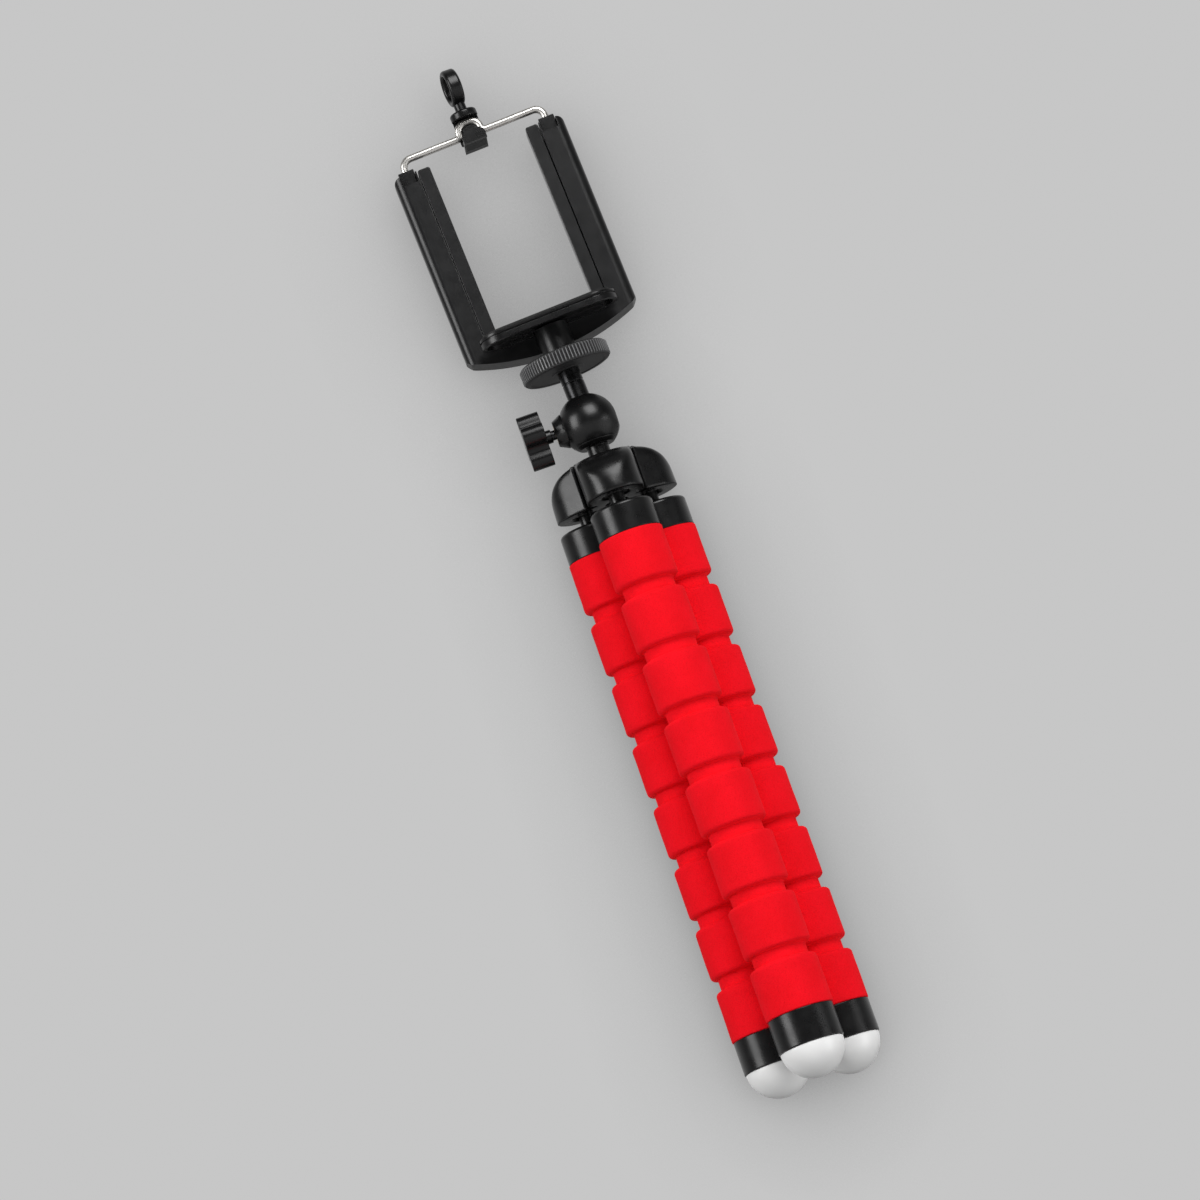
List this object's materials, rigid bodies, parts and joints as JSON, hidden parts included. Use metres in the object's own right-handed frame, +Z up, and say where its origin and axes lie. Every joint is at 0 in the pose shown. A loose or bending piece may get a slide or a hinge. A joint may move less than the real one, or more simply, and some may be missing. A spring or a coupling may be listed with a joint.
{
  "type": "flexible leg tripod",
  "caption": "Small tripod with bendable foam covered legs on round feet, a lobed crown, a ball head with a clamp knob, a knurled lock wheel and a sprung wire phone holder.",
  "frame": {"origin": "on the tripod axis at floor level, under the three round feet of the closed legs", "axes": "+Z up along the tripod axis towards the phone holder, -Y towards the front leg and the side of the holder that the phone sits on, -X towards the clamp knob"},
  "size_m": [0.0606, 0.0421, 0.3479],
  "materials": {
    "red_foam": "matte closed cell foam",
    "black_plastic": "satin moulded",
    "white_plastic": "satin moulded",
    "black_metal": "satin black",
    "bright_wire": "nickel plated",
    "zinc_steel": "zinc plated",
    "brass": "turned",
    "ivory_plastic": "moulded",
    "black_rubber": "matte"
  },
  "bodies": {
    "crown": {"crown": "black_plastic"},
    "front_joint": {"front_ball_stud": "black_plastic"},
    "front_link_1": {"front_upper_cap": "black_plastic", "front_bulge_1": "red_foam"},
    "front_link_2": {"front_bulge_2": "red_foam"},
    "front_link_3": {"front_bulge_3": "red_foam"},
    "front_link_4": {"front_bulge_4": "red_foam"},
    "front_link_5": {"front_bulge_5": "red_foam"},
    "front_link_6": {"front_bulge_6": "red_foam"},
    "front_link_7": {"front_bulge_7": "red_foam"},
    "front_link_8": {"front_bulge_8": "red_foam", "front_lower_cap": "black_plastic", "front_foot": "white_plastic"},
    "right_joint": {"right_ball_stud": "black_plastic"},
    "right_link_1": {"right_upper_cap": "black_plastic", "right_bulge_1": "red_foam"},
    "right_link_2": {"right_bulge_2": "red_foam"},
    "right_link_3": {"right_bulge_3": "red_foam"},
    "right_link_4": {"right_bulge_4": "red_foam"},
    "right_link_5": {"right_bulge_5": "red_foam"},
    "right_link_6": {"right_bulge_6": "red_foam"},
    "right_link_7": {"right_bulge_7": "red_foam"},
    "right_link_8": {"right_bulge_8": "red_foam", "right_lower_cap": "black_plastic", "right_foot": "white_plastic"},
    "left_joint": {"left_ball_stud": "black_plastic"},
    "left_link_1": {"left_upper_cap": "black_plastic", "left_bulge_1": "red_foam"},
    "left_link_2": {"left_bulge_2": "red_foam"},
    "left_link_3": {"left_bulge_3": "red_foam"},
    "left_link_4": {"left_bulge_4": "red_foam"},
    "left_link_5": {"left_bulge_5": "red_foam"},
    "left_link_6": {"left_bulge_6": "red_foam"},
    "left_link_7": {"left_bulge_7": "red_foam"},
    "left_link_8": {"left_bulge_8": "red_foam", "left_lower_cap": "black_plastic", "left_foot": "white_plastic"},
    "housing": {"ball_housing": "black_plastic", "ball_seat": "black_plastic", "crown_screw": "zinc_steel", "pressure_pad": "ivory_plastic", "clamp_bush": "brass"},
    "knob": {"clamp_knob": "black_plastic", "clamp_screw": "black_metal"},
    "stud": {"head_stud": "black_metal"},
    "wheel": {"lock_wheel": "black_plastic"},
    "holder": {"holder_frame": "black_plastic", "left_arm_cover": "black_plastic", "right_arm_cover": "black_plastic", "thread_insert": "brass", "tray": "black_plastic", "tray_pad": "black_rubber", "bail_bushes": "black_plastic", "bail_springs": "zinc_steel"},
    "bail": {"wire_bail": "bright_wire", "stop_collars": "zinc_steel", "hook_block": "black_plastic", "hook_pad": "black_rubber"},
    "ring": {"pull_ring": "black_plastic"}
  },
  "joints": [
    {"name": "front_spread", "type": "hinge", "parent": "crown", "child": "front_joint", "pos_m": [0, -0.01218, 0.19965], "axis": [-1, 0, 0], "range_deg": [0, 25]},
    {"name": "front_twist", "type": "hinge", "parent": "front_joint", "child": "front_link_1", "pos_m": [0, -0.01218, 0.19965], "axis": [0, 0.0068, 1], "range_deg": [-90, 90]},
    {"name": "front_bend_1", "type": "hinge", "parent": "front_link_1", "child": "front_link_2", "pos_m": [0, -0.01243, 0.1635], "axis": [-1, 0, 0], "range_deg": [0, 20]},
    {"name": "front_bend_2", "type": "hinge", "parent": "front_link_2", "child": "front_link_3", "pos_m": [0, -0.01256, 0.1429], "axis": [-1, 0, 0], "range_deg": [0, 20]},
    {"name": "front_bend_3", "type": "hinge", "parent": "front_link_3", "child": "front_link_4", "pos_m": [0, -0.01271, 0.1223], "axis": [-1, 0, 0], "range_deg": [0, 20]},
    {"name": "front_bend_4", "type": "hinge", "parent": "front_link_4", "child": "front_link_5", "pos_m": [0, -0.01285, 0.1017], "axis": [-1, 0, 0], "range_deg": [0, 20]},
    {"name": "front_bend_5", "type": "hinge", "parent": "front_link_5", "child": "front_link_6", "pos_m": [0, -0.01299, 0.0811], "axis": [-1, 0, 0], "range_deg": [0, 20]},
    {"name": "front_bend_6", "type": "hinge", "parent": "front_link_6", "child": "front_link_7", "pos_m": [0, -0.01313, 0.0605], "axis": [-1, 0, 0], "range_deg": [0, 20]},
    {"name": "front_bend_7", "type": "hinge", "parent": "front_link_7", "child": "front_link_8", "pos_m": [0, -0.01327, 0.0399], "axis": [-1, 0, 0], "range_deg": [0, 20]},
    {"name": "right_spread", "type": "hinge", "parent": "crown", "child": "right_joint", "pos_m": [0.01055, 0.00609, 0.19965], "axis": [0.5, -0.866, 0], "range_deg": [0, 25]},
    {"name": "right_twist", "type": "hinge", "parent": "right_joint", "child": "right_link_1", "pos_m": [0.01055, 0.00609, 0.19965], "axis": [-0.0059, -0.0034, 1], "range_deg": [-90, 90]},
    {"name": "right_bend_1", "type": "hinge", "parent": "right_link_1", "child": "right_link_2", "pos_m": [0.01076, 0.00621, 0.1635], "axis": [0.5, -0.866, 0], "range_deg": [0, 20]},
    {"name": "right_bend_2", "type": "hinge", "parent": "right_link_2", "child": "right_link_3", "pos_m": [0.01088, 0.00628, 0.1429], "axis": [0.5, -0.866, 0], "range_deg": [0, 20]},
    {"name": "right_bend_3", "type": "hinge", "parent": "right_link_3", "child": "right_link_4", "pos_m": [0.011, 0.00635, 0.1223], "axis": [0.5, -0.866, 0], "range_deg": [0, 20]},
    {"name": "right_bend_4", "type": "hinge", "parent": "right_link_4", "child": "right_link_5", "pos_m": [0.01112, 0.00642, 0.1017], "axis": [0.5, -0.866, 0], "range_deg": [0, 20]},
    {"name": "right_bend_5", "type": "hinge", "parent": "right_link_5", "child": "right_link_6", "pos_m": [0.01125, 0.00649, 0.0811], "axis": [0.5, -0.866, 0], "range_deg": [0, 20]},
    {"name": "right_bend_6", "type": "hinge", "parent": "right_link_6", "child": "right_link_7", "pos_m": [0.01137, 0.00656, 0.0605], "axis": [0.5, -0.866, 0], "range_deg": [0, 20]},
    {"name": "right_bend_7", "type": "hinge", "parent": "right_link_7", "child": "right_link_8", "pos_m": [0.01149, 0.00663, 0.0399], "axis": [0.5, -0.866, 0], "range_deg": [0, 20]},
    {"name": "left_spread", "type": "hinge", "parent": "crown", "child": "left_joint", "pos_m": [-0.01055, 0.00609, 0.19965], "axis": [0.5, 0.866, 0], "range_deg": [0, 25]},
    {"name": "left_twist", "type": "hinge", "parent": "left_joint", "child": "left_link_1", "pos_m": [-0.01055, 0.00609, 0.19965], "axis": [0.0059, -0.0034, 1], "range_deg": [-90, 90]},
    {"name": "left_bend_1", "type": "hinge", "parent": "left_link_1", "child": "left_link_2", "pos_m": [-0.01076, 0.00621, 0.1635], "axis": [0.5, 0.866, 0], "range_deg": [0, 20]},
    {"name": "left_bend_2", "type": "hinge", "parent": "left_link_2", "child": "left_link_3", "pos_m": [-0.01088, 0.00628, 0.1429], "axis": [0.5, 0.866, 0], "range_deg": [0, 20]},
    {"name": "left_bend_3", "type": "hinge", "parent": "left_link_3", "child": "left_link_4", "pos_m": [-0.011, 0.00635, 0.1223], "axis": [0.5, 0.866, 0], "range_deg": [0, 20]},
    {"name": "left_bend_4", "type": "hinge", "parent": "left_link_4", "child": "left_link_5", "pos_m": [-0.01112, 0.00642, 0.1017], "axis": [0.5, 0.866, 0], "range_deg": [0, 20]},
    {"name": "left_bend_5", "type": "hinge", "parent": "left_link_5", "child": "left_link_6", "pos_m": [-0.01125, 0.00649, 0.0811], "axis": [0.5, 0.866, 0], "range_deg": [0, 20]},
    {"name": "left_bend_6", "type": "hinge", "parent": "left_link_6", "child": "left_link_7", "pos_m": [-0.01137, 0.00656, 0.0605], "axis": [0.5, 0.866, 0], "range_deg": [0, 20]},
    {"name": "left_bend_7", "type": "hinge", "parent": "left_link_7", "child": "left_link_8", "pos_m": [-0.01149, 0.00663, 0.0399], "axis": [0.5, 0.866, 0], "range_deg": [0, 20]},
    {"name": "head_pan", "type": "hinge", "parent": "crown", "child": "housing", "pos_m": [0, 0, 0.22285], "axis": [0, 0, 1], "continuous": true},
    {"name": "knob_turn", "type": "hinge", "parent": "housing", "child": "knob", "pos_m": [0, 0, 0.22285], "axis": [-1, 0, 0], "continuous": true},
    {"name": "head_tilt", "type": "hinge", "parent": "housing", "child": "stud", "pos_m": [0, 0, 0.22285], "axis": [0, 1, 0], "range_deg": [-2.5, 87]},
    {"name": "wheel_turn", "type": "hinge", "parent": "stud", "child": "wheel", "pos_m": [0, 0, 0.22285], "axis": [-0.0436, 0, 0.999], "continuous": true},
    {"name": "holder_swivel", "type": "hinge", "parent": "stud", "child": "holder", "pos_m": [0, 0, 0.22285], "axis": [-0.0436, 0, 0.999], "continuous": true},
    {"name": "bail_slide", "type": "slide", "parent": "holder", "child": "bail", "axis": [-0.0436, 0, 0.999], "range_m": [0, 0.028], "stiffness_N_per_m": 120, "springref_m": -0.03, "deforming": ["bail_springs"]},
    {"name": "ring_swivel", "type": "hinge", "parent": "bail", "child": "ring", "pos_m": [-0.00519, 0.006, 0.34178], "axis": [-0.0436, 0, 0.999], "continuous": true}
  ]
}
